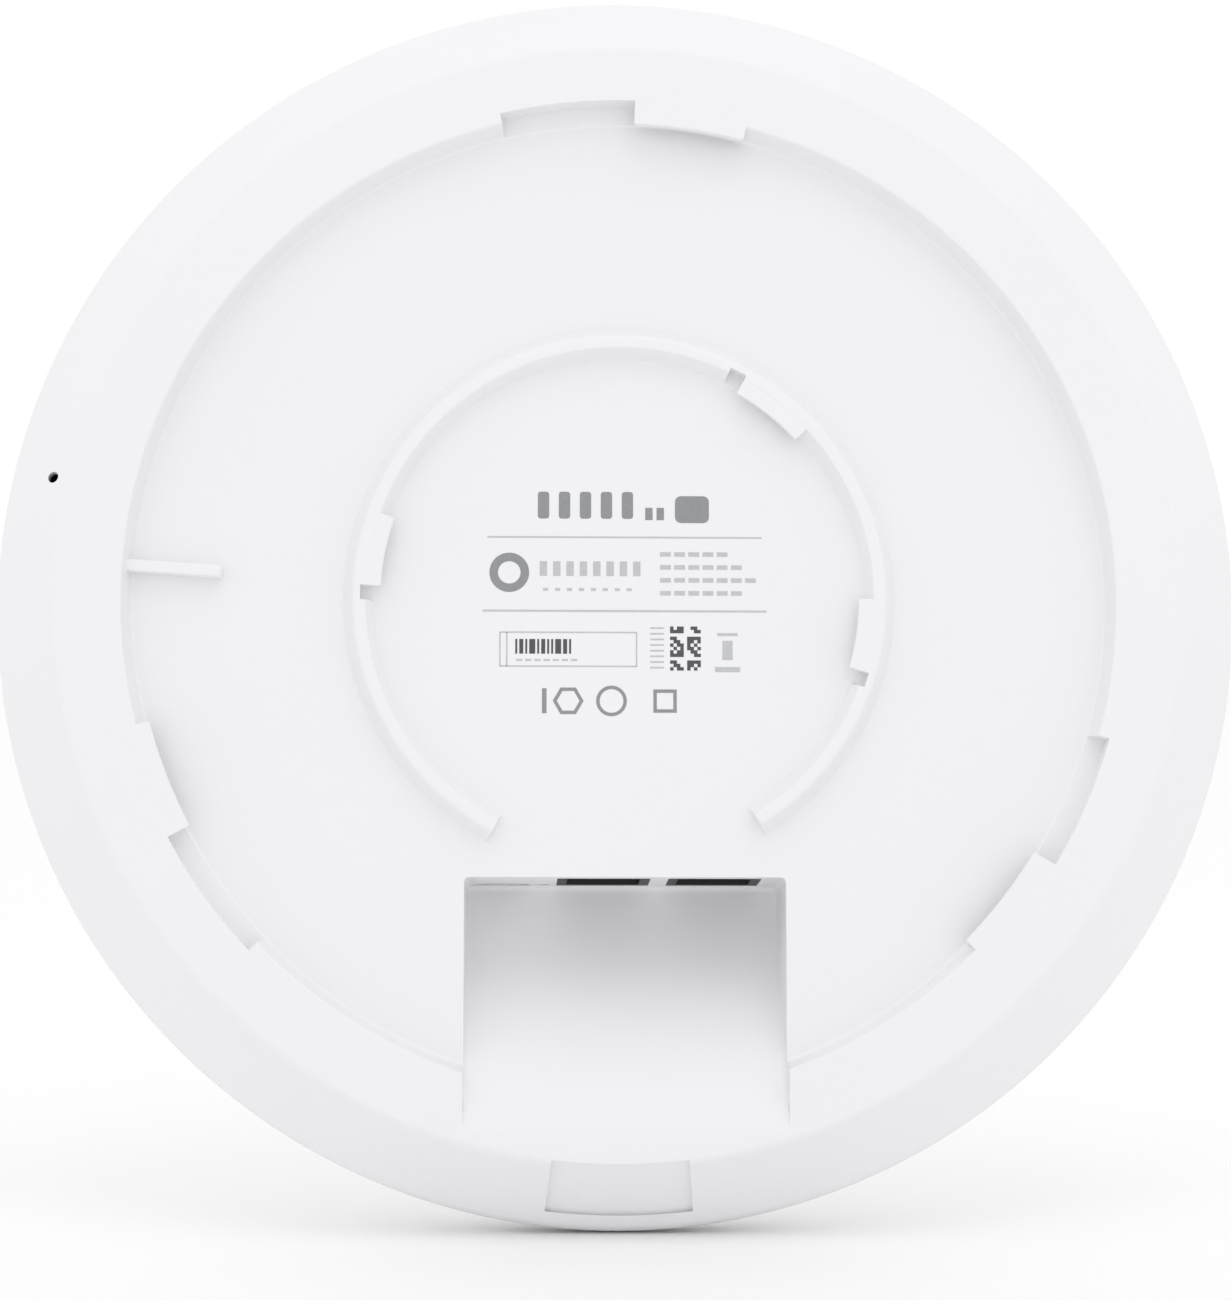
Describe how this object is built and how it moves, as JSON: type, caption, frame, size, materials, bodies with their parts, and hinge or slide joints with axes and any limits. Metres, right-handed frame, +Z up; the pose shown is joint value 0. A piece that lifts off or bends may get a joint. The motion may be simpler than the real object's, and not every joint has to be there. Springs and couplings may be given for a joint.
{
  "type": "ceiling access point",
  "caption": "Round ceiling access point: white housing with a bayonet recess and a cable bay at the back, domed cover with a light ring, board and antennas inside, recessed reset button.",
  "frame": {"origin": "centre of the flat recess floor in the back of the housing, where the mounting bracket seats", "axes": "+Z up, away from the cable bay; +Y along the disc's axis, out of the domed front; +X to the right seen from the mounting side"},
  "size_m": [0.22, 0.0481, 0.22],
  "materials": {
    "housing_white": "fine satin moulded polycarbonate",
    "cover_white": "smooth satin moulded polycarbonate",
    "light_guide": "translucent diffusing light guide",
    "cast_aluminium": "die-cast, as cast",
    "board_laminate": "glass-fibre laminate with green solder resist",
    "tinned_steel": "bright tinned sheet",
    "zinc_plated_steel": "zinc plated",
    "black_moulding": "moulded thermoplastic and epoxy",
    "ferrite": "sintered ferrite",
    "capacitor_can": "drawn can",
    "heat_pad": "soft silicone pad",
    "led_lens": "moulded lens",
    "button_white": "moulded, satin"
  },
  "bodies": {
    "housing": {"antenna_2g_1": "tinned_steel", "antenna_2g_2": "tinned_steel", "antenna_2g_3": "tinned_steel", "antenna_2g_4": "tinned_steel", "antenna_5g_1": "tinned_steel", "antenna_5g_2": "tinned_steel", "antenna_5g_3": "tinned_steel", "antenna_5g_4": "tinned_steel", "board_screw_1": "zinc_plated_steel", "board_screw_2": "zinc_plated_steel", "board_screw_3": "zinc_plated_steel", "board_screw_4": "zinc_plated_steel", "board_screw_5": "zinc_plated_steel", "board_screw_6": "zinc_plated_steel", "centre_cap": "cover_white", "flash_chip": "black_moulding", "front_cover": "cover_white", "heat_spreader": "cast_aluminium", "lan_jack_main_insert": "black_moulding", "lan_jack_main_shield": "tinned_steel", "lan_jack_second_insert": "black_moulding", "lan_jack_second_shield": "tinned_steel", "light_pipe": "light_guide", "light_ring": "light_guide", "line_transformer_main": "black_moulding", "line_transformer_second": "black_moulding", "main_board": "board_laminate", "memory_chip_1": "black_moulding", "memory_chip_2": "black_moulding", "power_capacitor_1": "capacitor_can", "power_capacitor_2": "capacitor_can", "power_inductor": "ferrite", "power_transformer": "ferrite", "processor_chip": "black_moulding", "processor_heat_pad": "heat_pad", "radio_chip_2g": "black_moulding", "radio_chip_5g": "black_moulding", "radio_heat_pad_2g": "heat_pad", "radio_heat_pad_5g": "heat_pad", "radio_shield_left": "tinned_steel", "radio_shield_right": "tinned_steel", "rear_housing": "housing_white", "reset_switch": "black_moulding", "status_led_1": "led_lens", "status_led_2": "led_lens", "status_led_3": "led_lens", "status_led_4": "led_lens", "usb_port_shell": "tinned_steel", "usb_port_tongue": "black_moulding"},
    "reset_button": {"reset_button": "button_white"}
  },
  "joints": [
    {"name": "reset_press", "type": "slide", "parent": "housing", "child": "reset_button", "axis": [0, 0, 1], "range_m": [0, 0.0005], "stiffness_N_per_m": 400}
  ]
}
